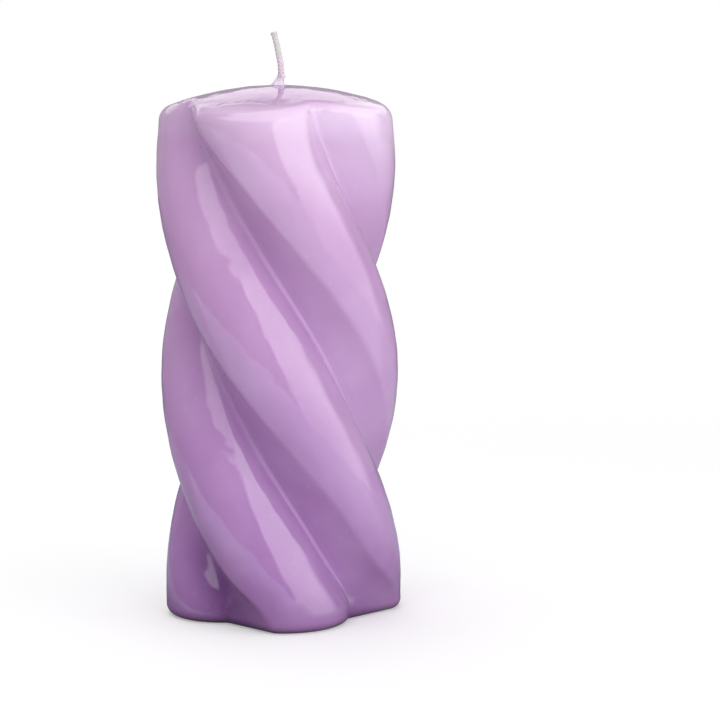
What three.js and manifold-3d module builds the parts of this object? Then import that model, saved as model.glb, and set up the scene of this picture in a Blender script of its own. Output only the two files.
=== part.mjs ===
// Twisted pillar candle: a moulded wax core with a dipped gloss coat, a braided wick, the bead
// of wax at the wick's foot, and the metal tab that holds the wick in the base.
// Millimetres, +Z up. The origin is the centre of the base, and -Y is the front.

import * as THREE from 'three';
import { mergeVertices } from 'three/addons/utils/BufferGeometryUtils.js';
import Module from 'manifold-3d';

const solids = await Module();
solids.setup();

// Body, measured on the outside of the gloss coat
const BODY_HEIGHT = 150; // base to the top of the dome
const BODY_WIDTH = 67.2; // over the crests of two opposite lobes
const LOBE_COUNT = 4;
const GROOVE_DEPTH = 11.3; // crest circle to the bottom of a groove
const GROOVE_RADIUS = 1.6; // round at the bottom of a groove
const RIDGE_ANGLE = THREE.MathUtils.degToRad(45); // crest to the ridge on a lobe's left
const RIDGE_RADIUS = 4.5; // round of the ridge between a lobe and its left flank
const RIM_GROOVE_DEPTH = 7.5; // groove where the side meets the dome
const RIM_GROOVE_RADIUS = 3;
const RIM_FADE = 22; // height below the rim over which the grooves deepen
const BASE_GROOVE_DEPTH = 8.4; // groove on the base
const BASE_RIDGE_ANGLE = THREE.MathUtils.degToRad(14);
const BASE_RIDGE_RADIUS = 5.5;
const BASE_FADE = 20; // height above the base over which the grooves deepen
const TURN_HEIGHT = 236; // height in which a lobe would go once round, rising to the left
const BASE_LOBE_ANGLE = THREE.MathUtils.degToRad(274); // where a crest meets the base, from +X
const BASE_RUN_IN = 13.2; // height over which the twist starts
const TOP_RUN_OUT = 18; // height over which the twist ends
const DOME_RISE = 6.6; // crest circle to the top of the dome
const TOP_EDGE = 3; // round between a side and the dome
const BASE_EDGE = 2.8; // round between a side and the base

// Layers and fits
const COAT_THICKNESS = 0.8;
const GAP = 0.3; // clearance between neighbouring pieces

// Wick
const WICK_DIAMETER = 1.8;
const WICK_OFFSET = 1.2; // axis of the candle to the wick's hole, towards +X
// Route above the dome: sideways from the hole, and height over the dome
const WICK_ROUTE = [
  [0, -2], [0, 0], [0.38, 1.2], [0.68, 2.6], [0.74, 4.4], [0.6, 6.4],
  [0.18, 8.6], [-0.16, 10.6], [-0.56, 12.6], [-1.07, 14.7],
];

// Bead of wax round the wick's foot
const BEAD_WIDTH = 4.4;
const BEAD_WALL = 0.35; // at the thin upper end
const BEAD_SHARE = 0.2; // part of the wick's free length that the bead climbs

// Tab in the base
const TAB_DIAMETER = 20;
const TAB_SHEET = 0.4;
const TAB_INSET = 0.4; // base of the candle to the underside of the tab
const NECK_LENGTH = 6;

// Steps of the faceted surfaces
const LOBE_STEPS = 7;
const RIDGE_STEPS = 3;
const FLANK_STEPS = 2;
const GROOVE_STEPS = 3;
const SIDE_STEPS = 24;
const EDGE_STEPS = 3;
const DOME_STEPS = 4;
const WICK_STEPS = 60;
const WICK_SIDES = 10;
const BEAD_STEPS = 5;
const ROUND_STEPS = 24;

const BODY_RADIUS = BODY_WIDTH / 2;
const HALF_LOBE = Math.PI / LOBE_COUNT;
const CORE_DEPTH = COAT_THICKNESS + GAP;
const WICK_BORE = WICK_DIAMETER / 2 + GAP;

// Depth and round of the grooves, and place and round of the ridges, at a height
function groovesAt(height) {
  const rimHeight = BODY_HEIGHT - DOME_RISE;
  const rim = THREE.MathUtils.smoothstep(height, rimHeight - RIM_FADE, rimHeight);
  const foot = 1 - THREE.MathUtils.smoothstep(height, 0, BASE_FADE);
  return {
    grooveDepth: GROOVE_DEPTH + rim * (RIM_GROOVE_DEPTH - GROOVE_DEPTH)
      + foot * (BASE_GROOVE_DEPTH - GROOVE_DEPTH),
    groove: THREE.MathUtils.lerp(GROOVE_RADIUS, RIM_GROOVE_RADIUS, rim),
    ridge: THREE.MathUtils.lerp(RIDGE_RADIUS, BASE_RIDGE_RADIUS, foot),
    ridgeAngle: THREE.MathUtils.lerp(RIDGE_ANGLE, BASE_RIDGE_ANGLE, foot),
  };
}

function polar(radius, angle) {
  return new THREE.Vector2(radius * Math.cos(angle), radius * Math.sin(angle));
}

// Points round a centre. A negative radius gives the far side, for a hollow round.
function arc(centre, radius, from, to, steps) {
  return Array.from({ length: steps + 1 }, (_, step) => (
    polar(radius, THREE.MathUtils.lerp(from, to, step / steps)).add(centre)));
}

// One lobe from the groove on its left, at a depth below the outer surface and a crest's height:
// hollow, straight flank, ridge, and the lobe's own round
function lobePoints(depth, height) {
  const { grooveDepth, groove, ridge, ridgeAngle } = groovesAt(height);
  const reach = BODY_RADIUS - grooveDepth + groove;
  const lobe = (reach ** 2 + BODY_RADIUS ** 2 - groove ** 2
    - 2 * reach * BODY_RADIUS * Math.cos(HALF_LOBE))
    / (2 * (BODY_RADIUS + groove - reach * Math.cos(HALF_LOBE)));
  const lobeCentre = new THREE.Vector2(BODY_RADIUS - lobe, 0);
  const sweep = polar(reach, HALF_LOBE).sub(lobeCentre).angle();
  const grooveCentre = polar(reach, -HALF_LOBE);
  const ridgeCentre = polar(lobe - ridge, -ridgeAngle).add(lobeCentre);
  const way = ridgeCentre.clone().sub(grooveCentre);
  const flank = Math.atan2(way.y, way.x) - Math.acos(-(ridge + groove) / way.length());
  const start = sweep - 2 * HALF_LOBE;
  const hollow = arc(grooveCentre, -groove - depth, start, flank, GROOVE_STEPS);
  const fold = arc(ridgeCentre, ridge - depth, flank, -ridgeAngle, RIDGE_STEPS);
  const crest = arc(lobeCentre, lobe - depth, -ridgeAngle, sweep, LOBE_STEPS);
  const slope = [];
  for (let step = 1; step < FLANK_STEPS; step += 1) {
    slope.push(hollow.at(-1).clone().lerp(fold[0], step / FLANK_STEPS));
  }
  return [...hollow.slice(1), ...slope, ...fold, ...crest.slice(1)];
}

// Cross-section of the body, before any twist
function sectionPoints(depth, height) {
  const axis = new THREE.Vector2();
  const lobe = lobePoints(depth, height);
  return Array.from({ length: LOBE_COUNT }, (_, turn) => (
    lobe.map((point) => point.clone().rotateAround(axis, 2 * HALF_LOBE * turn)))).flat();
}

// Angle that the section has turned through at a height, with a gentle start and end
function turnAt(height) {
  const eased = (share) => share ** 3 - share ** 4 / 2;
  const low = THREE.MathUtils.clamp(height / BASE_RUN_IN, 0, 1);
  const high = THREE.MathUtils.clamp((BODY_HEIGHT - height) / TOP_RUN_OUT, 0, 1);
  const lost = BASE_RUN_IN * (low - eased(low)) + TOP_RUN_OUT * (0.5 - high + eased(high));
  return BASE_LOBE_ANGLE - (2 * Math.PI * (height - lost)) / TURN_HEIGHT;
}

// One ring of the body's skin. heightOf gives each point's height from its distance to the axis.
function bodyRing(depth, heightOf) {
  return sectionPoints(depth, heightOf(BODY_RADIUS)).map((point) => {
    const distance = point.length();
    const height = heightOf(distance);
    const angle = point.angle() + turnAt(height);
    return new THREE.Vector3(distance * Math.cos(angle), distance * Math.sin(angle), height);
  });
}

function domeHeight(distance, depth) {
  return BODY_HEIGHT - depth - DOME_RISE * (distance / BODY_RADIUS) ** 2;
}

// Rings of the round foot of the outer surface, or of the slope that stands in for it inside
function footRings(depth) {
  if (depth > 0) {
    return [bodyRing(BASE_EDGE + depth, () => 0)];
  }
  const rings = [];
  for (let step = 0; step < EDGE_STEPS; step += 1) {
    const angle = (Math.PI / 2) * (1 - step / EDGE_STEPS);
    const height = BASE_EDGE * (1 - Math.sin(angle));
    rings.push(bodyRing(BASE_EDGE * (1 - Math.cos(angle)), () => height));
  }
  return rings;
}

// Rings of the body at a depth below its outer surface, from the base to the top of the dome
function bodyRings(depth) {
  const rings = footRings(depth);
  const edge = Math.max(TOP_EDGE - depth, GAP);
  const shoulder = (distance) => domeHeight(distance, depth) - edge;
  for (let step = 0; step <= SIDE_STEPS; step += 1) {
    const share = step / SIDE_STEPS;
    rings.push(bodyRing(depth, (distance) => (
      THREE.MathUtils.lerp(BASE_EDGE, shoulder(distance), share))));
  }
  for (let step = 1; step <= EDGE_STEPS; step += 1) {
    const angle = (Math.PI / 2) * (step / EDGE_STEPS);
    const inset = edge * (1 - Math.cos(angle));
    rings.push(bodyRing(depth + inset, (distance) => (
      shoulder(distance) + edge * Math.sin(angle))));
  }
  const rim = rings.at(-1);
  for (let step = DOME_STEPS - 1; step > 0; step -= 1) {
    rings.push(rim.map((point) => {
      const inward = point.clone().multiplyScalar(step / DOME_STEPS);
      inward.z = domeHeight(Math.hypot(inward.x, inward.y), depth);
      return inward;
    }));
  }
  return rings;
}

// Closed surface through a stack of rings, with a fan of triangles over each end. The last
// point closes the top end, and may stand above its ring.
function loft(rings, top = ringCentre(rings.at(-1))) {
  const size = rings[0].length;
  const points = [...rings.flat(), ringCentre(rings[0]), top];
  const [bottomPoint, topPoint] = [points.length - 2, points.length - 1];
  const lastRing = (rings.length - 1) * size;
  const index = [];
  for (let i = 0; i < size; i += 1) {
    const next = (i + 1) % size;
    index.push(bottomPoint, next, i, topPoint, lastRing + i, lastRing + next);
    for (let level = 0; level < lastRing; level += size) {
      const above = level + size;
      index.push(level + i, level + next, above + next, level + i, above + next, above + i);
    }
  }
  const geometry = new THREE.BufferGeometry().setFromPoints(points);
  geometry.setIndex(index);
  return geometry;
}

function ringCentre(ring) {
  const sum = ring.reduce((total, point) => total.add(point), new THREE.Vector3());
  return sum.divideScalar(ring.length);
}

function bodySolid(depth) {
  const apex = new THREE.Vector3(0, 0, BODY_HEIGHT - depth);
  return toSolid(loft(bodyRings(depth), apex));
}

// Upright turned form round the wick's hole, from [radius, height] pairs
function turned(profile) {
  const points = profile.map(([radius, height]) => new THREE.Vector2(radius, height));
  const geometry = new THREE.LatheGeometry(points, ROUND_STEPS);
  geometry.rotateX(Math.PI / 2);
  geometry.translate(WICK_OFFSET, 0, 0);
  return geometry;
}

function toSolid(geometry) {
  geometry.deleteAttribute('normal');
  geometry.deleteAttribute('uv');
  const merged = mergeVertices(geometry);
  return new solids.Manifold(new solids.Mesh({
    numProp: 3,
    vertProperties: merged.attributes.position.array,
    triVerts: merged.index.array,
  }));
}

function toGeometry(solid) {
  const mesh = solid.getMesh();
  const geometry = new THREE.BufferGeometry();
  geometry.setAttribute('position', new THREE.BufferAttribute(mesh.vertProperties, 3));
  geometry.setIndex(new THREE.BufferAttribute(mesh.triVerts, 1));
  geometry.computeVertexNormals();
  return geometry;
}

function piece(name, geometry, color, roughness, metalness = 0) {
  const material = new THREE.MeshStandardMaterial({ color, roughness, metalness });
  const mesh = new THREE.Mesh(geometry, material);
  mesh.name = name;
  return mesh;
}

// Tab: sizes that the recess in the core also follows
const NECK_RADIUS = WICK_BORE + TAB_SHEET;
const TAB_TOP = TAB_INSET + TAB_SHEET;
const NECK_TOP = TAB_TOP + NECK_LENGTH;

// Moulded core: lobed body with a bore for the wick and a stepped recess for the tab
function waxCore() {
  const bore = turned([
    [0, -GAP],
    [TAB_DIAMETER / 2 + GAP, -GAP],
    [TAB_DIAMETER / 2 + GAP, TAB_TOP + GAP],
    [NECK_RADIUS + GAP, TAB_TOP + GAP],
    [NECK_RADIUS + GAP, NECK_TOP + GAP],
    [WICK_BORE, NECK_TOP + GAP],
    [WICK_BORE, BODY_HEIGHT],
    [0, BODY_HEIGHT],
  ]);
  const body = bodySolid(CORE_DEPTH).subtract(toSolid(bore));
  return piece('wax_core', toGeometry(body), 0xcfa9dc, 0.6);
}

// Dipped coat: a shell over the core, open at the base and round the wick
function glossCoat() {
  const hole = turned([[0, BODY_HEIGHT / 2], [WICK_BORE, BODY_HEIGHT / 2],
    [WICK_BORE, BODY_HEIGHT + GAP], [0, BODY_HEIGHT + GAP]]);
  const shell = bodySolid(0).subtract(bodySolid(COAT_THICKNESS)).subtract(toSolid(hole));
  return piece('gloss_coat', toGeometry(shell), 0xb78fc6, 0.12);
}

// Route of the wick: straight up the bore from the underside of the tab, then free
function wickRoute() {
  const free = WICK_ROUTE.map(([sideways, height]) => (
    new THREE.Vector3(WICK_OFFSET + sideways, 0, BODY_HEIGHT + height)));
  const foot = new THREE.Vector3(WICK_OFFSET, 0, TAB_INSET);
  return new THREE.CatmullRomCurve3([foot, foot.clone().lerp(free[0], 0.5), ...free]);
}

function wick() {
  const circle = new THREE.Shape();
  circle.absarc(0, 0, WICK_DIAMETER / 2, 0, 2 * Math.PI);
  const geometry = new THREE.ExtrudeGeometry(circle, {
    extrudePath: wickRoute(),
    steps: WICK_STEPS,
    curveSegments: WICK_SIDES / 2,
    bevelEnabled: false,
  });
  return piece('wick', geometry, 0xeee4ea, 0.9);
}

// Bead of coat wax that climbs the wick's foot and closes its hole
function wickBead() {
  const route = new THREE.CatmullRomCurve3(
    WICK_ROUTE.slice(1).map(([sideways, height]) => (
      new THREE.Vector3(WICK_OFFSET + sideways, 0, BODY_HEIGHT + GAP + height))),
  );
  const ringAt = (share, radius) => {
    const centre = route.getPointAt(share * BEAD_SHARE);
    return Array.from({ length: ROUND_STEPS }, (_, i) => {
      const angle = (2 * Math.PI * i) / ROUND_STEPS;
      return new THREE.Vector3(radius * Math.cos(angle), radius * Math.sin(angle), 0).add(centre);
    });
  };
  const slope = [];
  const bore = [];
  for (let step = 0; step <= BEAD_STEPS; step += 1) {
    const share = step / BEAD_STEPS;
    const flare = (BEAD_WIDTH / 2 - WICK_BORE - BEAD_WALL) * (1 - share) ** 3;
    slope.push(ringAt(share, WICK_BORE + BEAD_WALL + flare));
    bore.push(ringAt(share, WICK_BORE));
  }
  const bead = toSolid(loft(slope)).subtract(toSolid(loft(bore)));
  return piece('wick_bead', toGeometry(bead), 0xd9b8e2, 0.15);
}

// Pressed tab: a flat disc with an upright neck that grips the wick
function wickTab() {
  const tab = turned([
    [WICK_BORE, TAB_INSET],
    [TAB_DIAMETER / 2, TAB_INSET],
    [TAB_DIAMETER / 2, TAB_TOP],
    [NECK_RADIUS, TAB_TOP],
    [NECK_RADIUS, NECK_TOP],
    [WICK_BORE, NECK_TOP],
    [WICK_BORE, TAB_INSET],
  ]);
  return piece('wick_tab', tab, 0xb9bcc0, 0.35, 1);
}

const candle = new THREE.Group();
candle.add(waxCore(), glossCoat(), wick(), wickBead(), wickTab());

export default candle;
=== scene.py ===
"""Twisted pillar candle, dressed for its studio picture.

Every length is in metres. The origin is the centre of the base, +Z is up and -Y is the front.
"""

import math

import bpy
import numpy as np
from bpy.props import FloatProperty, FloatVectorProperty, IntProperty, PointerProperty
from mathutils import Matrix, Vector, noise


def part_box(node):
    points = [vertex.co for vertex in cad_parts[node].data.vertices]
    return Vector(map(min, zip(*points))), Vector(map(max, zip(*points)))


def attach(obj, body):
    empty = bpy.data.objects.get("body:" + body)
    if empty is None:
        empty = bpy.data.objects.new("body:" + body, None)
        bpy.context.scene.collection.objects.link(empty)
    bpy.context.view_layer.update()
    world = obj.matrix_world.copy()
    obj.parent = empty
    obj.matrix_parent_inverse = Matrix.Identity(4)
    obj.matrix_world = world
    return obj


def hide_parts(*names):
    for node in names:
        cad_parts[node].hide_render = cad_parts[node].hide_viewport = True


bl_info = {
    "name": "Twisted Pillar Candle",
    "version": (1, 0, 0),
    "blender": (4, 5, 0),
    "location": "3D View > Sidebar > Candle",
    "description": "Dipped pillar candle with twisted lobes, a braided wick and a base tab",
    "category": "Add Mesh",
}

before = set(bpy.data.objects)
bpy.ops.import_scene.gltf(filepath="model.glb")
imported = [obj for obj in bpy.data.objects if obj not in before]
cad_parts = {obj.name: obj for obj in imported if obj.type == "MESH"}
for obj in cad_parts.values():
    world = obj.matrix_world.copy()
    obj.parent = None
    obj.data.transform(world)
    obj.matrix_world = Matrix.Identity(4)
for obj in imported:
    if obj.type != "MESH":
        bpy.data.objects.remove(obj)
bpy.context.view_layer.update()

MM = 0.001
COAT_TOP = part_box("gloss_coat")[1].z
TAB_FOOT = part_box("wick_tab")[0].z
NECK_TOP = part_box("wick_tab")[1].z

# Steps of the fine surfaces
LOBE_STEPS = 44
RIDGE_STEPS = 10
FLANK_STEPS = 14
GROOVE_STEPS = 12
FOOT_STEPS = 12
SIDE_STEPS = 230
INNER_SIDE_STEPS = 60
EDGE_STEPS = 10
DOME_STEPS = 44
INNER_DOME_STEPS = 12

# Layers: the core's skin below the coat's, and the hairline that is left between the two
CORE_DEPTH = 1.1 * MM
HAIRLINE = 0.02 * MM

# Least round that an inner skin keeps at the rim
LEAST_EDGE = 0.3 * MM

# Sizes of the waves that dipping leaves in the coat
SWELL_SIZE = 5.2 * MM
RIPPLE_SIZE = 1.6 * MM
CRINKLE_SIZE = 1.0 * MM

# Room round the wick: in the coat, in the core and the tab's neck, and in the bead, which also
# stands that far off the dome. The bead's film ends a little further out.
HOLE_GAP = 0.1 * MM
BORE_GAP = 0.3 * MM
BEAD_GAP = 0.02 * MM
BEAD_FILM = 0.06 * MM
BEAD_HEIGHT = 3.0 * MM

# Tab, and the room that the core leaves for it
TAB_RADIUS = 10.0 * MM
TAB_SHEET = 0.4 * MM
TAB_CORNER = 0.1 * MM
RECESS_RADIUS = 10.3 * MM
RECESS_DEPTH = 1.1 * MM
NECK_ROOM_TOP = 7.1 * MM
NECK_ROOM_GAP = 0.7 * MM

# Wick: its route in millimetres, sideways from the hole and up from the dome's top
WICK_ROUTE = [
    (0.0, -2.0), (0.0, 0.0), (0.38, 1.2), (0.68, 2.6), (0.74, 4.4), (0.6, 6.4),
    (0.18, 8.6), (-0.16, 10.6), (-0.56, 12.6), (-1.07, 14.7),
]
STRANDS = 8

# Wax: how light bends into it and how far each of red, green and blue wanders in it
WAX_BEND = 1.45
WAX_WANDER = (1.0, 0.6, 1.1)

WHITE = (1.0, 1.0, 1.0, 1.0)
BLACK = (0.0, 0.0, 0.0)
TENT_RADIUS = 1.6


def length_setting(name, description, default, precision=4):
    return FloatProperty(
        name=name, description=description, default=default,
        unit="LENGTH", subtype="DISTANCE", precision=precision,
    )


def angle_setting(name, description, degrees):
    return FloatProperty(
        name=name, description=description, default=math.radians(degrees),
        unit="ROTATION", subtype="ANGLE",
    )


def colour_setting(name, description, default):
    return FloatVectorProperty(
        name=name, description=description, default=default, subtype="COLOR", min=0.0, max=1.0,
    )


class CandleBody(bpy.types.PropertyGroup):
    """Shape of the waxed body"""

    height: length_setting("Height", "Base to the top of the dome", COAT_TOP)
    width: length_setting("Width", "Over the crests of two opposite lobes", 67.2 * MM)
    lobe_count: IntProperty(
        name="Lobes", description="Lobes round the body", default=4, min=3, max=8,
    )
    groove_depth: length_setting(
        "Groove Depth", "Crest circle to the bottom of a groove", 11.3 * MM,
    )
    groove_radius: length_setting("Groove Round", "Round at the bottom of a groove", 1.6 * MM)
    ridge_angle: angle_setting(
        "Ridge Angle", "Crest to the ridge on its left, seen from the lobe", 45.0,
    )
    ridge_radius: length_setting(
        "Ridge Round", "Round of the ridge between the lobe and its left flank", 4.5 * MM,
    )
    base_ridge_angle: angle_setting(
        "Ridge Angle at the Base", "Crest to the ridge on the base", 14.0,
    )
    base_ridge_radius: length_setting(
        "Ridge Round at the Base", "Round of the ridge on the base", 5.5 * MM,
    )
    top_groove_depth: length_setting(
        "Groove Depth at the Rim", "Groove depth where the side meets the dome", 7.5 * MM,
    )
    top_groove_radius: length_setting(
        "Groove Round at the Rim", "Groove round where the side meets the dome", 3.0 * MM,
    )
    top_fade: length_setting(
        "Rim Fade", "Height below the rim over which the grooves deepen", 22.0 * MM,
    )
    base_groove_depth: length_setting(
        "Groove Depth at the Base", "Groove depth on the base", 8.4 * MM,
    )
    base_fade: length_setting(
        "Base Fade", "Height above the base over which the grooves deepen", 20.0 * MM,
    )
    turn_height: length_setting(
        "Height of a Turn", "Height in which a lobe would go once round", 236.0 * MM,
    )
    base_angle: angle_setting("Base Angle", "Where a crest meets the base", 274.0)
    base_run_in: length_setting("Twist Run-in", "Height over which the twist starts", 13.2 * MM)
    top_run_out: length_setting("Twist Run-out", "Height over which the twist ends", 18.0 * MM)
    dome_rise: length_setting("Dome Rise", "Crest circle to the top of the dome", 6.6 * MM)
    top_edge: length_setting("Top Edge", "Round between a side and the dome", 3.0 * MM)
    base_edge: length_setting("Base Edge", "Round between a side and the base", 2.8 * MM)
    swell: length_setting(
        "Swell", "Height of the slow waves that dipping leaves in the coat",
        0.11 * MM, precision=5,
    )
    ripple: length_setting(
        "Ripple", "Height of the small waves in the coat", 0.024 * MM, precision=5,
    )
    crinkle: length_setting(
        "Crinkle", "Height of the crinkles where a groove meets an end", 0.26 * MM, precision=5,
    )


class CandleWick(bpy.types.PropertyGroup):
    """Sizes of the wick and of the wax round its foot"""

    diameter: length_setting("Diameter", "Over the braid", 1.8 * MM)
    offset: length_setting("Offset", "Axis of the candle to the wick's hole", 1.2 * MM)
    pitch: length_setting("Pitch", "Length in which a strand goes once round", 4.4 * MM)
    waxed: length_setting(
        "Waxed Length", "How far the dip tints the wick above the dome", 7.6 * MM,
    )
    bead_width: length_setting("Bead Width", "Wax bead across its foot", 4.4 * MM)


class CandleFinish(bpy.types.PropertyGroup):
    """Colours of the materials"""

    # The coat goes from the foot's colour to the top's: painted light makes the top lighter,
    # painted shade makes the foot darker
    coat_top_painted_light: colour_setting("Coat at the Top", "Dipped wax near the dome", (0.54, 0.322, 0.56))
    coat_foot_painted_shade: colour_setting("Coat at the Foot", "Dipped wax near the base", (0.37, 0.185, 0.44))
    core: colour_setting("Core", "Moulded wax of the core", (0.62, 0.44, 0.68))
    bead: colour_setting("Bead", "Wax round the wick's foot", (0.70, 0.56, 0.72))
    cotton: colour_setting("Cotton", "Dry end of the wick", (0.64, 0.63, 0.61))
    cotton_tint: colour_setting(
        "Waxed Cotton", "Part of the wick that the dip reached", (0.66, 0.53, 0.62),
    )
    steel: colour_setting("Tab Steel", "Tinned sheet of the tab", (0.60, 0.61, 0.62))


class CandleStudio(bpy.types.PropertyGroup):
    """Lamps and surroundings"""

    key_glow: FloatProperty(
        name="Key Lamp", description="How bright the cloth at the right looks, 1 is white",
        default=4.1,
    )
    top_glow: FloatProperty(
        name="Top Cloth", description="How bright the cloth overhead looks, 1 is white",
        default=2.8,
    )
    key_light: FloatProperty(
        name="Key Light", description="How much light the lamp at the right gives", default=2.4,
    )
    top_light: FloatProperty(
        name="Top Light", description="How much light the lamp overhead gives", default=1.0,
    )
    front_light: FloatProperty(
        name="Front Light", description="How much light the lamp in front gives", default=1.45,
    )
    back_light: FloatProperty(
        name="Back Light", description="How much light the lamp behind gives", default=0.8,
    )
    room_light: FloatProperty(
        name="Room Light", description="Light that comes evenly from all round", default=0.50,
    )


class Wire:
    """Output socket of a node in a recipe. Arithmetic on it adds Math nodes."""

    def __init__(self, recipe, socket):
        self.recipe = recipe
        self.socket = socket

    def __add__(self, other):
        return self.recipe.maths("ADD", self, other)

    def __radd__(self, other):
        return self.recipe.maths("ADD", other, self)

    def __sub__(self, other):
        return self.recipe.maths("SUBTRACT", self, other)

    def __rsub__(self, other):
        return self.recipe.maths("SUBTRACT", other, self)

    def __mul__(self, other):
        return self.recipe.maths("MULTIPLY", self, other)

    def __rmul__(self, other):
        return self.recipe.maths("MULTIPLY", other, self)

    def __pow__(self, power):
        return self.recipe.maths("POWER", self, power)

    def above(self, limit):
        return self.recipe.maths("GREATER_THAN", self, limit)

    def ramp(self, low, high):
        """0 below low, 1 above high, and smooth in between."""
        return self.recipe.node(
            "MapRange", "Result", {"interpolation_type": "SMOOTHSTEP"},
            Value=self, From_Min=low, From_Max=high,
        )


class Recipe:
    """Node tree of one material or world, put together from wires."""

    def __init__(self, owner):
        owner.use_nodes = True
        self.tree = owner.node_tree
        self.tree.nodes.clear()

    def add(self, kind, settings=None, **sockets):
        """Adds a node with its settings, then its sockets' values or wires. Spaces in a
        socket's name are written as underscores, and a name such as _2 gives its place."""
        node = self.tree.nodes.new("ShaderNode" + kind)
        for name, value in (settings or {}).items():
            setattr(node, name, value)
        for name, value in sockets.items():
            socket = node.inputs[int(name[1:]) if name[0] == "_" else name.replace("_", " ")]
            if isinstance(value, Wire):
                self.tree.links.new(value.socket, socket)
            else:
                socket.default_value = value
        return node

    def node(self, kind, output, settings=None, **sockets):
        """Adds a node and gives the wire from one of its outputs."""
        return Wire(self, self.add(kind, settings, **sockets).outputs[output])

    def maths(self, operation, *terms):
        sockets = {f"_{place}": term for place, term in enumerate(terms)}
        return self.node("Math", 0, {"operation": operation}, **sockets)

    def mix_colours(self, share, low, high):
        """Colour that goes from low to high as share goes from 0 to 1."""
        settings = {"data_type": "RGBA"}
        return self.node("Mix", 2, settings, _0=share, _6=opaque(low), _7=opaque(high))

    def place(self):
        """Point on the piece, in metres."""
        return self.node("TexCoord", "Object")

    def split(self, place):
        """The x, y and z of a point."""
        node = self.add("SeparateXYZ", Vector=place)
        return [Wire(self, socket) for socket in node.outputs]

    def cloud(self, place, size, detail=2.0, roughness=0.5):
        """Noise from 0 to 1, with lumps of about that size."""
        return self.node(
            "TexNoise", 0, Vector=place, Scale=1.0 / size, Detail=detail, Roughness=roughness,
        )

    def bump(self, height, distance):
        return self.node("Bump", 0, Height=height, Distance=distance, Strength=1.0)

    def azimuth(self, x, y):
        """Degrees round from the front, which grow towards the right."""
        return self.maths("ARCTAN2", x, 0.0 - y) * math.degrees(1)

    def matt(self, colour):
        return self.node("BsdfDiffuse", 0, Color=colour)

    def glow(self, colour, strength):
        return self.node("Emission", 0, Color=colour, Strength=strength)

    def blend(self, share, low, high):
        """Shader that goes from low to high as share goes from 0 to 1."""
        return self.node("MixShader", 0, _0=share, _1=low, _2=high)

    def ray(self, kind):
        """1 where the light path is of that kind."""
        return self.node("LightPath", f"Is {kind} Ray")

    def surface(self, shader, output="OutputMaterial"):
        self.add(output, Surface=shader)


def opaque(colour):
    """A wire as it is, or three numbers with a full alpha."""
    return colour if isinstance(colour, Wire) else (*colour, 1.0)


def new_material(name):
    material = bpy.data.materials.new(name)
    return material, Recipe(material)


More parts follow.
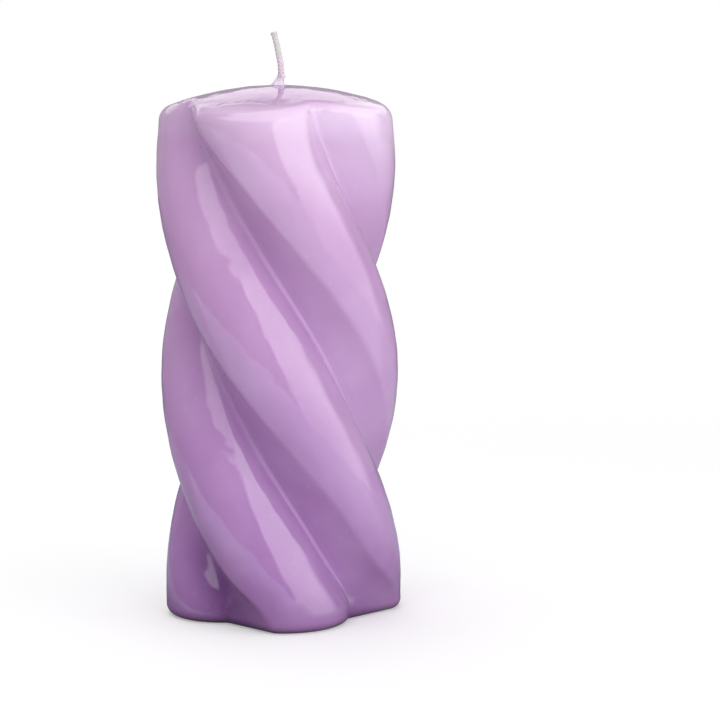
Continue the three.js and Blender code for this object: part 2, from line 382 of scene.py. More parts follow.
class BodyShape:
    """The twisted body. A point of a section is a complex number, x + iy."""

    def __init__(self, sizes):
        self.sizes = sizes
        self.radius = sizes.width / 2
        self.rim = sizes.height - sizes.dome_rise

    def section(self, depth, height):
        """Points at a depth below the outer skin and at a crest's height, before any twist."""
        sizes = self.sizes
        top = ease(height, self.rim - sizes.top_fade, self.rim)
        foot = 1 - ease(height, 0, sizes.base_fade)
        groove_depth = (
            sizes.groove_depth
            + top * (sizes.top_groove_depth - sizes.groove_depth)
            + foot * (sizes.base_groove_depth - sizes.groove_depth)
        )
        groove = sizes.groove_radius + top * (sizes.top_groove_radius - sizes.groove_radius)
        ridge = sizes.ridge_radius + foot * (sizes.base_ridge_radius - sizes.ridge_radius)
        ridge_angle = sizes.ridge_angle + foot * (sizes.base_ridge_angle - sizes.ridge_angle)
        half = math.pi / sizes.lobe_count
        groove_reach = self.radius - groove_depth + groove
        lobe = (
            groove_reach**2 + self.radius**2 - groove**2
            - 2 * groove_reach * self.radius * math.cos(half)
        ) / (2 * (self.radius + groove - groove_reach * math.cos(half)))
        centre = self.radius - lobe
        sweep = math.atan2(
            groove_reach * math.sin(half), groove_reach * math.cos(half) - centre
        )
        groove_centre = groove_reach * np.exp(-1j * half)
        ridge_centre = centre + (lobe - ridge) * np.exp(-1j * ridge_angle)
        way = ridge_centre - groove_centre
        flank = np.angle(way) - math.acos(-(ridge + groove) / abs(way))
        hollow = self.arms(sweep - 2 * half, flank, GROOVE_STEPS)[1:]
        fold = self.arms(flank, -ridge_angle, RIDGE_STEPS)
        crest = self.arms(-ridge_angle, sweep, LOBE_STEPS)[1:]
        slope = np.linspace(
            groove_centre - groove * fold[0], ridge_centre + ridge * fold[0], FLANK_STEPS + 1
        )[1:-1]
        points = np.concatenate([
            groove_centre - groove * hollow, slope, ridge_centre + ridge * fold,
            centre + lobe * crest,
        ])
        outward = np.concatenate([hollow, np.full(slope.size, fold[0]), fold, crest])
        turns = np.exp(2j * half * np.arange(sizes.lobe_count))[:, None]
        return (turns * points).ravel() - depth * (turns * outward).ravel()

    @staticmethod
    def arms(start, end, steps):
        """Unit steps that turn from one angle to another."""
        return np.exp(1j * np.linspace(start, end, steps + 1))

    def turn_at(self, height):
        """Angle that a section has turned through at a height."""
        sizes = self.sizes
        low = np.clip(height / sizes.base_run_in, 0, 1)
        high = np.clip((sizes.height - height) / sizes.top_run_out, 0, 1)
        eased_low = low**3 - low**4 / 2
        eased_high = high**3 - high**4 / 2
        lost = sizes.base_run_in * (low - eased_low)
        lost = lost + sizes.top_run_out * (0.5 - high + eased_high)
        return sizes.base_angle - 2 * math.pi * (height - lost) / sizes.turn_height

    def dome_height(self, distance, depth):
        return self.sizes.height - depth - self.sizes.dome_rise * (distance / self.radius) ** 2

    def ring(self, depth, height_of):
        """One ring of a skin. height_of gives a point's height from its distance."""
        points = self.section(depth, height_of(self.radius))
        height = height_of(np.abs(points)) * np.ones(points.size)
        turned = points * np.exp(1j * self.turn_at(height))
        return np.stack([turned.real, turned.imag, height], axis=1)

    def circle(self, radius, height, centre_x):
        """Ring round the wick's hole whose points face as those of the body's rings do."""
        points = self.section(0.0, height)
        turned = points / np.abs(points) * np.exp(1j * self.turn_at(height))
        x = centre_x + radius * turned.real
        return np.stack([x, radius * turned.imag, np.full(x.size, height)], axis=1)

    def foot(self):
        """Rings of the round foot of the outer skin."""
        edge = self.sizes.base_edge
        rings = []
        for angle in np.linspace(math.pi / 2, 0, FOOT_STEPS, endpoint=False):
            height = edge * (1 - math.sin(angle))
            inset = edge * (1 - math.cos(angle))
            rings.append(self.ring(inset, lambda distance, height=height: height))
        return rings

    def side_and_dome(self, depth, side_steps, dome_steps, hole, centre_x):
        """Rings from the top of the foot up the side and over the dome to the wick's hole."""
        edge = max(self.sizes.top_edge - depth, LEAST_EDGE)
        rings = []

        def shoulder(distance):
            return self.dome_height(distance, depth) - edge

        for share in np.linspace(0, 1, side_steps + 1):
            rings.append(self.ring(depth, lambda distance, share=share: (
                self.sizes.base_edge * (1 - share) + shoulder(distance) * share)))
        for angle in np.linspace(0, math.pi / 2, EDGE_STEPS + 1)[1:]:
            inset = edge * (1 - math.cos(angle))
            rise = edge * math.sin(angle)
            rings.append(self.ring(depth + inset, lambda distance, rise=rise: (
                shoulder(distance) + rise)))
        rim = rings[-1]
        mouth = self.circle(hole, self.sizes.height, centre_x)
        for share in np.linspace(0, 1, dome_steps + 1)[1:]:
            points = rim * (1 - share) + mouth * share
            points[:, 2] = self.dome_height(np.hypot(points[:, 0], points[:, 1]), depth)
            rings.append(points)
        return rings


def skin_normals(rings):
    """Normals of a grid of rings, from the rings' neighbours."""
    around = np.roll(rings, -1, axis=1) - np.roll(rings, 1, axis=1)
    upward = np.gradient(rings, axis=0)
    normals = np.cross(around, upward)
    return normals / np.linalg.norm(normals, axis=2, keepdims=True)


def waves(points, size, seed):
    """Smooth noise at each point, with waves of about twice that size."""
    shift = Vector((seed * 7.3, seed * 3.1, seed * 5.7))
    flat = points.reshape(-1, 3) / size
    values = [noise.noise(Vector(point) + shift) for point in flat.tolist()]
    return np.array(values).reshape(points.shape[:-1])


def ease(value, low, high):
    """0 below low, 1 above high, and smooth in between."""
    share = np.clip((value - low) / (high - low), 0, 1)
    return share * share * (3 - 2 * share)


def sheet_faces(rows, columns, closed):
    """Quads over a grid of points whose rows are rings. Closed joins the last to the first."""
    quads = []
    for row in range(rows if closed else rows - 1):
        lower = row * columns
        upper = (row + 1) % rows * columns
        for column in range(columns):
            right = (column + 1) % columns
            quads.append((lower + column, lower + right, upper + right, upper + column))
    return quads


def grid_mesh(name, rings):
    """Object of a stack of equal rings, the last of which joins the first."""
    rings = np.asarray(rings)
    rows, columns = rings.shape[:2]
    return new_object(name, rings.reshape(-1, 3), sheet_faces(rows, columns, closed=True))


def new_object(name, points, faces):
    mesh = bpy.data.meshes.new(name)
    mesh.from_pydata(np.asarray(points).tolist(), [], faces)
    mesh.validate()
    mesh.polygons.foreach_set("use_smooth", [True] * len(mesh.polygons))
    mesh.update()
    piece = bpy.data.objects.new(name, mesh)
    bpy.context.scene.collection.objects.link(piece)
    return piece


def dress(piece, node, material):
    """Gives a piece its material, its body and the solid that it takes the place of."""
    piece.data.materials.append(material)
    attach(piece, "root")
    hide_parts(node)


def rim_wobble(shape):
    """How far the line between coat and core wanders on the base, round the ring."""
    points = shape.section(0.0, 0.0)
    around = np.stack([points.real, points.imag, np.zeros(points.size)], axis=1)
    return 0.35 * MM * waves(around, 9 * MM, 5)


def coat_material(finish, height):
    """Dipped wax: a clear-edged gloss over milky lilac, with painted light and shade in its
    colour:
    darker towards the foot, in the grooves and on the left, and paler at the top and the right."""
    material, wax = new_material("dipped_wax")
    place = wax.place()
    x, y, z = wax.split(place)
    # Painted light and shade: the colour is lighter at the top and darker at the foot
    colour = wax.mix_colours(z.ramp(0.0, height), finish.coat_foot_painted_shade, finish.coat_top_painted_light)
    mottle = wax.cloud(place, 22 * MM, 3.0).ramp(0.35, 0.7)
    # Painted light on the side below the dome: paler near the top and towards the right, paler
    # just under the rim, and paler on the right of the waist
    side = 1 - z.ramp(height - 6 * MM, height - 3 * MM)
    painted_top_light = z.ramp(height - 38 * MM, height - 8 * MM) * x.ramp(-25 * MM, 25 * MM) * 0.45
    rim = z.ramp(height - 16 * MM, height - 7 * MM) * 0.22
    waist = z.ramp(10 * MM, 32 * MM) * (1 - z.ramp(height - 74 * MM, height - 44 * MM))
    painted_right_light = x.ramp(6 * MM, 24 * MM) * waist * 0.13
    # The wax's own mottle plus the painted light, which together mix the colour towards the pale
    # lilac below
    mottle_and_painted_light = mottle * 0.08 + (painted_top_light + rim) * side + painted_right_light
    paler = wax.mix_colours(mottle_and_painted_light, colour, (0.86, 0.70, 0.88))
    reach = (x * x + y * y) ** 0.5
    below_rim = 1 - z.ramp(height - 8 * MM, height - 4 * MM)
    crease = (1 - reach.ramp(22.6 * MM, 24.5 * MM)) * below_rim
    # Painted shade: darker in the grooves, less so towards the right, and darkest near the foot,
    # more at the left
    painted_foot_shade = 0.72 * (1 - (z + x * 0.3).ramp(2 * MM, 23 * MM))
    painted_shade = (1 - reach.ramp(23 * MM, 32 * MM)) * (
        0.20 - 0.14 * x.ramp(-6 * MM, 18 * MM) + painted_foot_shade)
    with_painted_shade = wax.mix_colours(painted_shade, paler, (0.16, 0.06, 0.22))
    specks = wax.cloud(place, 1.3 * MM, 2.0).ramp(0.62, 0.8)
    flecked = wax.mix_colours(specks * 0.06, with_painted_shade, (0.88, 0.78, 0.92))
    haze = wax.cloud(place, 9 * MM, 4.0).ramp(0.45, 0.75)
    orange_peel = wax.cloud(place, 2.6 * MM, 2.0)
    shader = wax.node(
        "BsdfPrincipled", 0,
        Base_Color=flecked,
        Roughness=0.015 + haze * 0.03 + crease * 0.3,
        IOR=WAX_BEND,
        Subsurface_Weight=0.15,
        Subsurface_Radius=WAX_WANDER,
        Subsurface_Scale=0.6 * MM,
        Normal=wax.bump(orange_peel, 0.006 * MM),
    )
    wax.surface(shader)
    return material


def core_material(finish):
    """Moulded wax: matt, with the swirls and pits of a poured base."""
    material, wax = new_material("moulded_wax")
    place = wax.place()
    swirl = wax.cloud(place, 6 * MM, 4.0, 0.6)
    pits = wax.cloud(place, 0.7 * MM, 2.0).ramp(0.62, 0.72)
    colour = wax.mix_colours(swirl.ramp(0.3, 0.7), finish.core, [c * 0.86 for c in finish.core])
    shader = wax.node(
        "BsdfPrincipled", 0,
        Base_Color=colour,
        Roughness=0.45 + swirl * 0.2,
        IOR=WAX_BEND,
        Subsurface_Weight=0.2,
        Subsurface_Radius=WAX_WANDER,
        Subsurface_Scale=0.8 * MM,
        Normal=wax.bump(swirl * 0.6 - pits * 0.4, 0.12 * MM),
    )
    wax.surface(shader)
    return material


class CANDLE_OT_gloss_coat(bpy.types.Operator):
    """Makes the dipped coat"""

    bl_idname = "candle.gloss_coat"
    bl_label = "Gloss Coat"

    def execute(self, context):
        body, wick = context.scene.candle_body, context.scene.candle_wick
        shape = BodyShape(body)
        hole = wick.diameter / 2 + HOLE_GAP
        dome = shape.side_and_dome(0.0, SIDE_STEPS, DOME_STEPS, hole, wick.offset)
        outside = np.asarray(shape.foot() + dome)
        inside_depth = CORE_DEPTH - HAIRLINE
        inside = shape.side_and_dome(
            inside_depth, INNER_SIDE_STEPS, INNER_DOME_STEPS, hole, wick.offset
        )
        lip = shape.ring(body.base_edge + inside_depth + rim_wobble(shape), lambda _: 0.0)
        rings = [*self.waved(outside, body, wick), *reversed(inside), lip]
        dress(grid_mesh("dipped_coat", rings), "gloss_coat",
              coat_material(context.scene.candle_finish, body.height))
        return {"FINISHED"}

    @staticmethod
    def waved(outside, body, wick):
        """The outside with the waves of the dip, which fade out at the base and the hole, and
        the crinkles where a groove meets the rim or the base."""
        x, y, height = np.moveaxis(outside, 2, 0)
        reach = np.hypot(x - wick.offset, y)
        fade = ease(height, 0, body.base_edge) * ease(reach, wick.diameter, 3 * wick.diameter)
        rim = body.height - body.dome_rise
        ends = ease(height, rim - 6 * MM, rim) + 1 - ease(height, 3 * MM, 11 * MM)
        hollow = 1 - ease(np.hypot(x, y), 25 * MM, 29.5 * MM)
        off_dome = ease(reach, 22.5 * MM, 25.5 * MM)
        rise = (
            body.swell * waves(outside, SWELL_SIZE, 1)
            + body.ripple * waves(outside, RIPPLE_SIZE, 2)
            + body.crinkle * ends * hollow * off_dome * waves(outside, CRINKLE_SIZE, 3)
        )
        return outside + (fade * rise)[..., None] * skin_normals(outside)


class CANDLE_OT_wax_core(bpy.types.Operator):
    """Makes the moulded core with its bore and the tab's recess"""

    bl_idname = "candle.wax_core"
    bl_label = "Wax Core"

    def execute(self, context):
        body, wick = context.scene.candle_body, context.scene.candle_wick
        shape = BodyShape(body)
        bore = wick.diameter / 2 + BORE_GAP
        skin = shape.side_and_dome(
            CORE_DEPTH, INNER_SIDE_STEPS, INNER_DOME_STEPS, bore, wick.offset
        )
        neck = bore + NECK_ROOM_GAP
        steps = [
            *((bore, height) for height in np.linspace(body.height - 3 * MM, NECK_ROOM_TOP, 40)),
            (neck, NECK_ROOM_TOP), (neck, RECESS_DEPTH),
            (RECESS_RADIUS, RECESS_DEPTH), (RECESS_RADIUS, 0.0),
        ]
        walls = [shape.circle(radius, height, wick.offset) for radius, height in steps]
        outline = shape.ring(body.base_edge + CORE_DEPTH + rim_wobble(shape), lambda _: 0.0)
        base = [walls[-1] * (1 - share) + outline * share for share in (0.25, 0.5, 0.75, 1.0)]
        core = grid_mesh("moulded_core", [*skin, *walls, *base])
        dress(core, "wax_core", core_material(context.scene.candle_finish))
        return {"FINISHED"}


def wick_centre_line(wick, height, spacing):
    """Points up the middle of the wick, from the underside of the tab to its tip."""
    route = [(TAB_FOOT, 0.0)]
    route += [(height + rise * MM, sideways * MM) for sideways, rise in WICK_ROUTE]
    heights = np.array([point[0] for point in route])
    across = np.array([point[1] for point in route])
    z = np.arange(heights[0], heights[-1] + spacing / 2, spacing)
    x = smooth_curve(heights, across, z)
    return np.stack([wick.offset + x, np.zeros(z.size), z], axis=1)


def smooth_curve(knots, values, at):
    """Smooth curve through values at knots. A knot's slope comes from its neighbours."""
    slopes = np.gradient(values, knots)
    slopes[0] = 0.0
    place = np.clip(np.searchsorted(knots, at, side="right") - 1, 0, len(knots) - 2)
    span = knots[place + 1] - knots[place]
    t = (at - knots[place]) / span
    return (
        values[place] * (2 * t**3 - 3 * t**2 + 1)
        + slopes[place] * span * (t**3 - 2 * t**2 + t)
        + values[place + 1] * (3 * t**2 - 2 * t**3)
        + slopes[place + 1] * span * (t**3 - t**2)
    )


class Bundle:
    """Points and faces of many thin tubes that become one piece."""

    def __init__(self):
        self.points = []
        self.faces = []

    def tube(self, line, outward, wide, thick, sides):
        """Closed tube along a line. outward points away from the bundle at each point, and
        wide and thick are the half sizes across and along it."""
        line = np.asarray(line)
        count = len(line)
        along = np.gradient(line, axis=0)
        along /= np.linalg.norm(along, axis=1, keepdims=True)
        across = np.cross(along, outward)
        across /= np.linalg.norm(across, axis=1, keepdims=True)
        outward = np.cross(across, along)
        angles = np.linspace(0, 2 * math.pi, sides, endpoint=False)
        wide = np.broadcast_to(wide, count)[:, None, None]
        thick = np.broadcast_to(thick, count)[:, None, None]
        rings = (
            line[:, None]
            + wide * np.cos(angles)[None, :, None] * across[:, None]
            + thick * np.sin(angles)[None, :, None] * outward[:, None]
        )
        start = len(self.points)
        self.points.extend(rings.reshape(-1, 3).tolist())
        for face in sheet_faces(count, sides, closed=False):
            self.faces.append(tuple(start + corner for corner in face))
        last = start + (count - 1) * sides
        self.faces.append(tuple(start + side for side in reversed(range(sides))))
        self.faces.append(tuple(last + side for side in range(sides)))


def cotton_material(finish, wick, height):
    """Braided cotton: dry and chalky at the tip, tinted and stiff with wax below."""
    material, cotton = new_material("wick_cotton")
    place = cotton.place()
    z = cotton.split(place)[2]
    edge = height + wick.waxed
    patchy = cotton.cloud(place, 0.9 * MM, 3.0)
    level = z + (patchy - 0.5) * 1.6 * MM
    dry = level.ramp(edge - 0.4 * MM, edge + 0.4 * MM)
    paler = level.ramp(height + 1.5 * MM, edge)
    tint = cotton.mix_colours(paler, finish.cotton_tint, [c**0.8 for c in finish.cotton_tint])
    colour = cotton.mix_colours(dry, tint, finish.cotton)
    fibres = cotton.cloud(
        cotton.node("Mapping", 0, Vector=place, Scale=(1.0, 1.0, 0.25)), 0.06 * MM, 2.0
    )
    shade = cotton.mix_colours(fibres.ramp(0.3, 0.6) * 0.35 + 0.65, (0.55, 0.5, 0.52), colour)
    shader = cotton.node(
        "BsdfPrincipled", 0,
        Base_Color=shade,
        Roughness=0.45 + dry * 0.5,
        IOR=WAX_BEND,
        Sheen_Weight=0.15,
        Sheen_Roughness=0.6,
        Normal=cotton.bump(fibres, 0.03 * MM),
    )
    cotton.surface(shader)
    return material


class CANDLE_OT_wick(bpy.types.Operator):
    """Braids the wick from eight strands and frays its tip"""

    bl_idname = "candle.wick"
    bl_label = "Wick"

    def execute(self, context):
        body, wick = context.scene.candle_body, context.scene.candle_wick
        spacing = 0.12 * MM
        line = wick_centre_line(wick, body.height, spacing)
        bundle = Bundle()
        radius = wick.diameter / 2
        yarn_thick = 0.19 * radius
        yarn_wide = 0.46 * radius
        over = 0.14 * radius
        middle = radius - yarn_thick - over
        side = np.array([0.0, 1.0, 0.0])
        along = np.gradient(line, axis=0)
        along /= np.linalg.norm(along, axis=1, keepdims=True)
        front = np.cross(side[None], along)
        walked = np.arange(len(line)) * spacing
        turned = 2 * math.pi * walked / wick.pitch
        for strand in range(STRANDS):
            way = 1 if strand % 2 else -1
            angle = way * turned + (strand // 2) * 4 * math.pi / STRANDS
            reach = middle + way * over * np.cos(4 * turned)
            outward = np.cos(angle)[:, None] * front + np.sin(angle)[:, None] * side
            bundle.tube(line + reach[:, None] * outward, outward, yarn_wide, yarn_thick, 8)
        bundle.tube(line[:-4], front[:-4], 0.8 * radius, 0.8 * radius, 12)
        self.fray(bundle, line[-1], radius)
        self.fuzz(bundle, line, body.height, radius)
        piece = new_object("braided_wick", bundle.points, bundle.faces)
        dress(piece, "wick",
              cotton_material(context.scene.candle_finish, wick, body.height))
        return {"FINISHED"}

    @staticmethod
    def fray(bundle, tip, radius):
        """Loose fibre ends that fan out of the cut tip."""
        chance = np.random.default_rng(11)
        for _ in range(70):
            angle = chance.uniform(0, 2 * math.pi)
            reach = radius * math.sqrt(chance.uniform(0, 0.9))
            lean = np.array([math.cos(angle), math.sin(angle), 0.0])
            foot = tip + reach * lean + np.array([0, 0, -0.9 * MM])
            rise = chance.uniform(0.7, 1.05) * MM
            spread = chance.uniform(0.0, 0.22) * MM * reach / radius
            shares = np.linspace(0, 1, 5)[:, None]
            way = foot + shares * np.array([0, 0, rise]) + shares**2 * spread * lean
            bundle.tube(way, np.tile(lean, (5, 1)), 0.03 * MM, 0.03 * MM, 5)

    @staticmethod
    def fuzz(bundle, line, height, radius):
        """Short hairs that stand off the free part of the wick."""
        chance = np.random.default_rng(12)
        free = np.flatnonzero(line[:, 2] > height + 4 * MM)
        for _ in range(60):
            foot = line[chance.choice(free[:-8])]
            angle = chance.uniform(0, 2 * math.pi)
            lean = np.array([math.cos(angle), math.sin(angle), 0.0])
            drift = np.array([-lean[1], lean[0], chance.uniform(-0.5, 1.5)])
            shares = np.linspace(0, 1, 5)[:, None]
            reach = chance.uniform(0.08, 0.25) * MM
            way = foot + (0.85 * radius + shares**2 * reach) * lean
            way = way + shares * drift * chance.uniform(0.2, 0.5) * MM
            bundle.tube(way, np.tile(lean, (5, 1)), 0.012 * MM, 0.012 * MM, 4)


def bead_material(finish):
    """Thin wax that light comes through."""
    material, wax = new_material("bead_wax")
    place = wax.place()
    cloud = wax.cloud(place, 1.2 * MM, 3.0)
    colour = wax.mix_colours(cloud.ramp(0.3, 0.7), finish.bead, [c**0.85 for c in finish.bead])
    shader = wax.node(
        "BsdfPrincipled", 0,
        Base_Color=colour,
        Roughness=0.07 + cloud * 0.06,
        IOR=WAX_BEND,
        Subsurface_Weight=0.4,
        Subsurface_Radius=WAX_WANDER,
        Subsurface_Scale=0.8 * MM,
        Normal=wax.bump(cloud, 0.02 * MM),
    )
    wax.surface(shader)
    return material


class CANDLE_OT_wick_bead(bpy.types.Operator):
    """Shapes the web of wax that climbs the wick's foot"""

    bl_idname = "candle.wick_bead"
    bl_label = "Wick Bead"

    def execute(self, context):
        body, wick = context.scene.candle_body, context.scene.candle_wick
        line = wick_centre_line(wick, body.height, 0.1 * MM)
        angles = np.linspace(0, 2 * math.pi, 48, endpoint=False)
        shares = np.linspace(0, 1, 22)
        bore = wick.diameter / 2 + BEAD_GAP
        rings = [self.ring(body, line, angles, share, self.flare(wick, angles, share))
                 for share in shares]
        rings += [self.ring(body, line, angles, share, bore) for share in reversed(shares)]
        dress(grid_mesh("wax_bead", rings), "wick_bead",
              bead_material(context.scene.candle_finish))
        return {"FINISHED"}

    @staticmethod
    def flare(wick, angles, share):
        """Distance of the bead's skin from the wick's middle, round the wick."""
        least = wick.diameter / 2 + BEAD_FILM
        most = wick.bead_width / 2 - least
        left = ease(-np.cos(angles), 0.1, 1.0)
        web = np.clip(1 - share / 0.85, 0, 1) ** 1.15
        collar = np.clip(1 - share, 0, 1) ** 5
        lump = 0.34 * MM * np.exp(-((share - 0.8) / 0.13) ** 2) * ease(np.cos(angles), 0.3, 1.0)
        film = 0.08 * MM * (1 - share) ** 0.5
        return least + most * (left * web + (1 - left) * collar) + lump + film

    @staticmethod
    def ring(body, line, angles, share, reach):
        """Ring round the wick at a share of the bead's height. The lowest lies on the dome."""
        rise = share * BEAD_HEIGHT
        middle = line[np.argmin(np.abs(line[:, 2] - body.height - rise))]
        x = middle[0] + reach * np.cos(angles)
        y = middle[1] + reach * np.sin(angles)
        sag = body.dome_rise * (x**2 + y**2) / (body.width / 2) ** 2
        z = body.height + BEAD_GAP + rise - sag * np.clip(1 - rise / MM, 0, 1)
        return np.stack([x, y, z], axis=1)


def steel_material(finish):
    """Tinned sheet with fine rolling lines and a few dull stains."""
    material, steel = new_material("tinned_steel")
    place = steel.place()
    lines = steel.cloud(
        steel.node("Mapping", 0, Vector=place, Scale=(1.0, 14.0, 1.0)), 1.2 * MM, 3.0
    )
    stains = steel.cloud(place, 3.5 * MM, 4.0).ramp(0.5, 0.75)
    colour = steel.mix_colours(stains * 0.5, finish.steel, (0.38, 0.37, 0.36))
    shader = steel.node(
        "BsdfPrincipled", 0,
        Base_Color=colour,
        Metallic=1.0,
        Roughness=0.28 + stains * 0.2 + lines * 0.12,
        Normal=steel.bump(lines, 0.01 * MM),
    )
    steel.surface(shader)
    return material


class CANDLE_OT_wick_tab(bpy.types.Operator):
    """Presses the tab: a ribbed disc with a neck crimped on the wick"""

    bl_idname = "candle.wick_tab"
    bl_label = "Wick Tab"

    def execute(self, context):
        wick = context.scene.candle_wick
        bore = wick.diameter / 2 + BORE_GAP
        neck = bore + TAB_SHEET
        underside = [(radius, TAB_FOOT + self.rib(radius)) for radius in np.linspace(
            neck, TAB_RADIUS - TAB_CORNER, 70)]
        rounded = [
            (TAB_RADIUS, TAB_FOOT + TAB_CORNER),
            (TAB_RADIUS, TAB_FOOT + TAB_SHEET - TAB_CORNER),
        ]
        upside = [(radius, height + TAB_SHEET) for radius, height in reversed(underside)]
        neck_out = [(neck, height) for height in np.linspace(
            upside[-1][1] + 0.2 * MM, NECK_TOP, 30)]
        neck_in = [(bore, height) for height in np.linspace(NECK_TOP, TAB_FOOT, 34)]
        profile = [*underside, *rounded, *upside, *neck_out, *neck_in]
        rings = [self.ring(wick, radius, height) for radius, height in profile]
        dress(grid_mesh("pressed_tab", rings), "wick_tab",
              steel_material(context.scene.candle_finish))
        return {"FINISHED"}

    @staticmethod
    def rib(radius):
        """Rise of the pressed rings in the disc."""
        outer = math.exp(-((radius - 8.2 * MM) / (0.5 * MM)) ** 2)
        inner = math.exp(-((radius - 4.4 * MM) / (0.6 * MM)) ** 2)
        return 0.25 * MM * outer + 0.2 * MM * inner

    @staticmethod
    def ring(wick, radius, height):
        """Ring of the tab. The neck is pinched from four sides above its middle."""
        angles = np.linspace(0, 2 * math.pi, 96, endpoint=False)
        pinch = math.exp(-((height - 4.6 * MM) / (1.1 * MM)) ** 2) * (radius < 2 * MM)
        squeeze = 0.26 * MM * pinch * (0.5 + 0.5 * np.cos(4 * angles))
        reach = radius - squeeze
        return np.stack([
            wick.offset + reach * np.cos(angles),
            reach * np.sin(angles),
            np.full(angles.size, height),
        ], axis=1)


class CANDLE_OT_stage(bpy.types.Operator):
    """Sets the floor, the lamps, the room and the camera"""

    bl_idname = "candle.stage"
    bl_label = "Stage"

    def execute(self, context):
        studio = context.scene.candle_studio
        self.floor(studio)
        self.tent(studio)
        self.room(context, studio)
        for name, place, facing, width, height, glow in (
            ("key_lamp", (0.66, -0.62, 0.27), (-1, 0.94, -0.3), 1.1, 0.6, studio.key_light),
            ("front_lamp", (-0.22, -1, 0.4), (0.22, 1, -0.35), 0.9, 0.7, studio.front_light),
            ("top_lamp", (-0.12, 0.10, 0.56), (0.1, -0.1, -1), 0.6, 0.6, studio.top_light),
            ("back_lamp", (-0.2, 0.95, 0.55), (0.2, -1, -0.45), 1.2, 0.6, studio.back_light),
        ):
            self.softbox(name, place, facing, width, height, glow)
        self.camera(context)
        context.scene.view_settings.view_transform = "Standard"
        return {"FINISHED"}

    @classmethod
    def floor(cls, studio):
        """Floor that the camera sees as white, that gives the candle little light from close
        by, and that the gloss shows as a table."""
        corners = [(-3, -3, 0), (3, -3, 0), (3, 3, 0), (-3, 3, 0)]
        piece = new_object("floor", corners, [(0, 1, 2, 3)])
        material, paint = new_material("floor_white")
        place = paint.place()
        away = paint.node("VectorMath", "Value", {"operation": "LENGTH"}, _0=place)
        grain = paint.cloud(place, 30 * MM, 3.0)
        colour = paint.mix_colours(grain, (0.80, 0.80, 0.80), (0.82, 0.82, 0.82))
        near = paint.node("AddShader", 0, _0=paint.matt(colour), _1=paint.glow(WHITE, 0.25))
        seen = paint.blend(away.ramp(0.16, 0.42), near, paint.glow(WHITE, 1.0))
        # Painted shade: the light that the floor gives back is nearly black close to the candle,
        # which darkens the candle's foot
        bounce = paint.mix_colours(away.ramp(0.03, 0.07), (0.03, 0.02, 0.03), (0.78, 0.78, 0.80))
        mirrored = cls.mirrored_floor(paint, place, away, studio.key_glow)
        unseen = paint.blend(paint.ray("Glossy"), paint.matt(bounce), mirrored)
        paint.surface(paint.blend(paint.ray("Camera"), unseen, seen))
        piece.data.materials.append(material)

    @staticmethod
    def mirrored_floor(paint, place, away, key_glow):
        """What the gloss shows of the floor: a cool table that ends at the left, dark close to
        the candle and brightest in front, with the lit cloth beyond it at the right."""
        x, y, _ = paint.split(place)
        # Painted shadow: the table that the gloss shows is dark close to the candle
        cloudy = paint.mix_colours(
            away.ramp(0.03, 0.10) * (1 - 0.8 * y.ramp(0.1, 0.4)),
            (0.1, 0.1, 0.12), (0.74, 0.86, 0.95),
        )
        ahead = away.ramp(0.04, 0.15) * (0.0 - y).ramp(-0.04, 0.04)
        sheen = paint.mix_colours(ahead, BLACK, (1.5, 1.95, 2.2))
        bright = paint.node("AddShader", 0, _0=paint.matt(cloudy), _1=paint.glow(sheen, 1.0))
        beyond = paint.maths("MAXIMUM", (0.0 - x).ramp(0.60, 0.62), 0.5)
        table = paint.blend(beyond, bright, paint.glow(WHITE, 0.12))
        azimuth = paint.azimuth(x, y)
        lit = away.ramp(0.24, 0.36) * azimuth.ramp(19, 27) * (1 - azimuth.ramp(88, 112))
        return paint.blend(lit, table, paint.glow(WHITE, key_glow * 0.6))

    @staticmethod
    def room(context, studio):
        """White room, which lights the candle evenly but less than it shows."""
        world = bpy.data.worlds.new("studio_room")
        context.scene.world = world
        room = Recipe(world)
        even = room.node("Background", 0, Color=WHITE, Strength=studio.room_light)
        seen = room.node("Background", 0, Color=WHITE, Strength=1.0)
        looking = (room.ray("Camera") + room.ray("Glossy") + room.ray("Transmission")).above(0.5)
        room.surface(room.blend(looking, even, seen), "OutputWorld")

    @staticmethod
    def tent(studio):
        """Cloth dome round the set, which only the gloss shows: dark at the left and the front,
        lit at the right, overhead and in a band behind."""
        azimuths = np.radians(np.arange(-180, 181, 5))
        elevations = np.radians(np.arange(0, 91, 5))
        points = [
            (
                TENT_RADIUS * math.sin(azimuth) * math.cos(elevation),
                -TENT_RADIUS * math.cos(azimuth) * math.cos(elevation),
                TENT_RADIUS * math.sin(elevation),
            )
            for elevation in elevations for azimuth in azimuths
        ]
        columns = len(azimuths)
        faces = [
            (corner, corner + 1, corner + columns + 1, corner + columns)
            for row in range(len(elevations) - 1)
            for corner in range(row * columns, (row + 1) * columns - 1)
        ]
        piece = new_object("cloth_tent", points, faces)
        material, cloth = new_material("tent_cloth")
        x, y, z = cloth.split(cloth.place())
        azimuth = cloth.azimuth(x, y)
        elevation = cloth.maths("ARCTAN2", z, (x * x + y * y) ** 0.5) * math.degrees(1)
        right = azimuth.ramp(21, 28) * (1 - azimuth.ramp(88, 112)) * (1 - elevation.ramp(38, 52))
        edge = 39.5 - azimuth * 0.09
        over = (elevation - edge).ramp(-1, 2) * azimuth.ramp(-100, -80)
        over = over * (1 - azimuth.ramp(120, 150)) + elevation.ramp(60, 75)
        behind = cloth.maths("ABSOLUTE", azimuth).ramp(115, 130)
        band = behind * elevation.ramp(17, 21) * (1 - elevation.ramp(34, 40) * 0.6)
        lit = right * studio.key_glow * (0.6 + elevation.ramp(0, 24) * 0.4)
        lit = cloth.maths("MAXIMUM", lit, cloth.maths("MINIMUM", over, 1.0) * studio.top_glow)
        lit = cloth.maths("MAXIMUM", lit, band * 1.1) + 0.1 + behind * 0.25
        grey = cloth.node("CombineColor", 0, Red=lit, Green=lit, Blue=lit)
        cloth.surface(cloth.glow(grey, 1.0))
        piece.data.materials.append(material)
        piece.visible_camera = False
        piece.visible_diffuse = False
        piece.visible_shadow = False

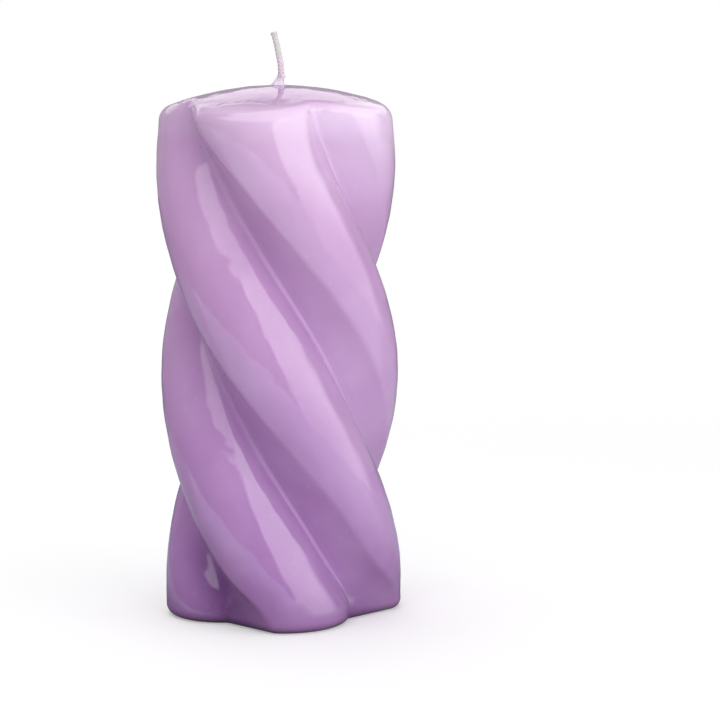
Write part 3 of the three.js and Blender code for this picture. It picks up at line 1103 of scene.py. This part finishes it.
    @staticmethod
    def softbox(name, place, facing, width, height, glow):
        """Rectangular lamp of an even brightness. The gloss shows the tent's cloth instead."""
        lamp = bpy.data.lights.new(name, "AREA")
        lamp.shape = "RECTANGLE"
        lamp.size = width
        lamp.size_y = height
        lamp.energy = glow * width * height * math.pi
        lamp_object = bpy.data.objects.new(name, lamp)
        lamp_object.location = place
        lamp_object.rotation_euler = Vector(facing).to_track_quat("-Z", "Y").to_euler()
        lamp_object.visible_camera = False
        lamp_object.visible_glossy = False
        bpy.context.scene.collection.objects.link(lamp_object)

    @staticmethod
    def camera(context):
        """Camera in front of the candle, a little above its rim and turned down to it."""
        lens = bpy.data.cameras.new("camera")
        lens.sensor_width = 36.0
        lens.lens = 148.8
        yaw, pitch, roll = (math.radians(angle) for angle in (1.564, 8.078, -0.859))
        ahead = Vector((
            math.sin(yaw) * math.cos(pitch), math.cos(yaw) * math.cos(pitch), -math.sin(pitch)
        ))
        right = ahead.cross(Vector((0, 0, 1))).normalized()
        up = right.cross(ahead)
        rolled_right = right * math.cos(roll) + up * math.sin(roll)
        rolled_up = up * math.cos(roll) - right * math.sin(roll)
        camera = bpy.data.objects.new("camera", lens)
        turn = Matrix((rolled_right, rolled_up, -ahead)).transposed()
        camera.matrix_world = Matrix.Translation((0.0, -0.83730, 0.19064)) @ turn.to_4x4()
        context.scene.collection.objects.link(camera)
        context.scene.camera = camera


class CANDLE_PT_panel(bpy.types.Panel):
    """Sizes, colours and pieces of the candle"""

    bl_label = "Twisted Candle"
    bl_idname = "CANDLE_PT_panel"
    bl_space_type = "VIEW_3D"
    bl_region_type = "UI"
    bl_category = "Candle"

    def draw(self, context):
        for group in SETTINGS:
            box = self.layout.box()
            settings = getattr(context.scene, group)
            for name in settings.__annotations__:
                box.prop(settings, name)
        for operator in OPERATORS:
            self.layout.operator(operator.bl_idname)


SETTINGS = {
    "candle_body": CandleBody,
    "candle_wick": CandleWick,
    "candle_finish": CandleFinish,
    "candle_studio": CandleStudio,
}
OPERATORS = (
    CANDLE_OT_gloss_coat,
    CANDLE_OT_wax_core,
    CANDLE_OT_wick,
    CANDLE_OT_wick_bead,
    CANDLE_OT_wick_tab,
    CANDLE_OT_stage,
)


def register():
    for name, group in SETTINGS.items():
        bpy.utils.register_class(group)
        setattr(bpy.types.Scene, name, PointerProperty(type=group))
    for operator in OPERATORS:
        bpy.utils.register_class(operator)
    bpy.utils.register_class(CANDLE_PT_panel)


def unregister():
    bpy.utils.unregister_class(CANDLE_PT_panel)
    for operator in reversed(OPERATORS):
        bpy.utils.unregister_class(operator)
    for name, group in SETTINGS.items():
        delattr(bpy.types.Scene, name)
        bpy.utils.unregister_class(group)


def main():
    register()
    bpy.ops.candle.gloss_coat()
    bpy.ops.candle.wax_core()
    bpy.ops.candle.wick()
    bpy.ops.candle.wick_bead()
    bpy.ops.candle.wick_tab()
    bpy.ops.candle.stage()


if __name__ == "__main__":
    main()
